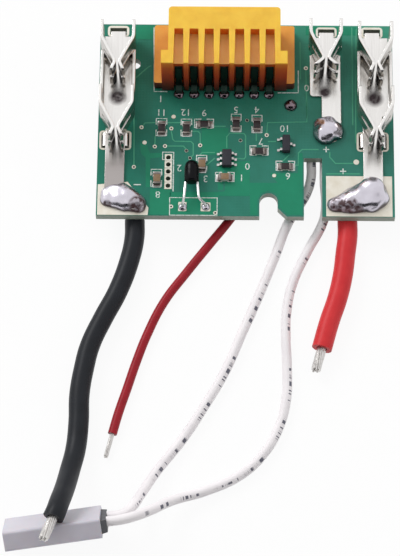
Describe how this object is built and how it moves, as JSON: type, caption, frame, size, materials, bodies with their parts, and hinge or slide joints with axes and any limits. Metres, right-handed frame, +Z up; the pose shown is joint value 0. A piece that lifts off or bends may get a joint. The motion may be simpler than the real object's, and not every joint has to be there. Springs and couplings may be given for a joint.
{
  "type": "battery management board",
  "caption": "Circuit board that guards a slide-on battery pack: spring fork terminals, a slotted signal connector, a thermistor, a thermal switch and soldered leads",
  "frame": {"origin": "centre of the board in plan, at the height of the tips of the terminal tails that it stands on", "axes": "X along the 49 mm side of the board, Y towards the edge that the blades enter at, Z up from the board"},
  "size_m": [0.0622, 0.0924, 0.0154],
  "materials": {
    "board_laminate": "green solder mask on glass-epoxy",
    "tinned_sheet": "bright tin plate on copper alloy",
    "amber_housing": "moulded amber nylon",
    "dark_contact": "dark plated spring strip",
    "bright_solder": "satin, cooled in the air",
    "dark_solder": "satin with dark flux",
    "chip_resistor": "black glaze with tinned ends",
    "chip_capacitor": "tan ceramic with tinned ends",
    "moulded_epoxy": "matte moulded epoxy",
    "tinned_leads": "tinned",
    "bead_epoxy": "black dipped epoxy",
    "switch_plastic": "satin moulded polyester",
    "potting_resin": "cured epoxy",
    "black_insulation": "satin silicone",
    "red_insulation": "satin silicone",
    "dark_red_insulation": "satin extruded",
    "white_insulation": "satin extruded",
    "tinned_strands": "tinned copper strands"
  },
  "bodies": {
    "root": {"circuit_board": "board_laminate", "b_minus_terminal": "tinned_sheet", "b_plus_terminal": "tinned_sheet", "charge_terminal": "tinned_sheet", "connector_housing": "amber_housing", "signal_contact_1": "dark_contact", "signal_contact_2": "dark_contact", "signal_contact_3": "dark_contact", "signal_contact_4": "dark_contact", "signal_contact_5": "dark_contact", "signal_contact_6": "dark_contact", "signal_contact_7": "dark_contact", "signal_solder": "dark_solder", "tab_solder": "bright_solder", "b_minus_solder": "bright_solder", "b_plus_solder": "bright_solder", "charge_solder": "bright_solder", "balance_solder": "dark_solder", "white_lead_solder": "bright_solder", "resistor_1": "chip_resistor", "resistor_2": "chip_resistor", "resistor_3": "chip_resistor", "resistor_4": "chip_resistor", "resistor_5": "chip_resistor", "resistor_6": "chip_resistor", "resistor_7": "chip_resistor", "capacitor_1": "chip_capacitor", "capacitor_2": "chip_capacitor", "capacitor_3": "chip_capacitor", "monitor_chip": "moulded_epoxy", "monitor_chip_leads": "tinned_leads", "transistor": "moulded_epoxy", "transistor_leads": "tinned_leads", "thermistor_bead": "bead_epoxy", "thermistor_lead_left": "tinned_leads", "thermistor_lead_right": "tinned_leads", "thermistor_solder": "bright_solder", "thermal_switch_case": "switch_plastic", "thermal_switch_potting": "potting_resin", "black_lead": "black_insulation", "thick_red_lead": "red_insulation", "thin_red_lead": "dark_red_insulation", "white_lead_1": "white_insulation", "white_lead_2": "white_insulation", "black_lead_core": "tinned_strands", "thick_red_lead_core": "tinned_strands", "thin_red_lead_core": "tinned_strands", "white_lead_core_1": "tinned_strands", "white_lead_core_2": "tinned_strands", "black_lead_tip": "tinned_strands", "thick_red_lead_tip": "tinned_strands", "thin_red_lead_tip": "tinned_strands"}
  },
  "joints": []
}
